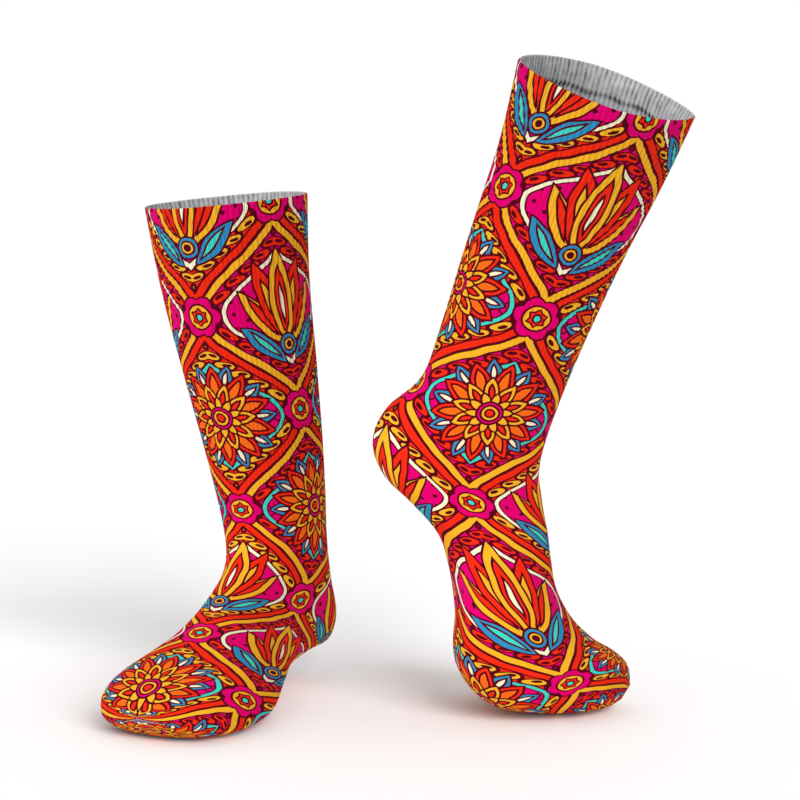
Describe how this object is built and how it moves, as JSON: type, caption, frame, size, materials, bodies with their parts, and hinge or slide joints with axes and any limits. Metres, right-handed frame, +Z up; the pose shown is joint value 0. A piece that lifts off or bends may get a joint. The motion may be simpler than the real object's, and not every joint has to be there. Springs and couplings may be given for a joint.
{
  "type": "pair of socks",
  "caption": "Pair of calf-high knitted socks with ribbed legs and turned cuffs, hollow as worn: one standing on its sole, one up on its toes.",
  "frame": {"origin": "middle of the standing sock's leg opening, where the wearer's leg holds it", "axes": "+Z up, +X from the standing sock to the tiptoe sock, +Y the way the camera looks"},
  "size_m": [0.3681, 0.2654, 0.4232],
  "materials": {
    "printed_knit": "matte knit with an all-over print outside and plain grey inside"
  },
  "bodies": {
    "root": {"standing_sock": "printed_knit", "tiptoe_sock": "printed_knit"}
  },
  "joints": []
}
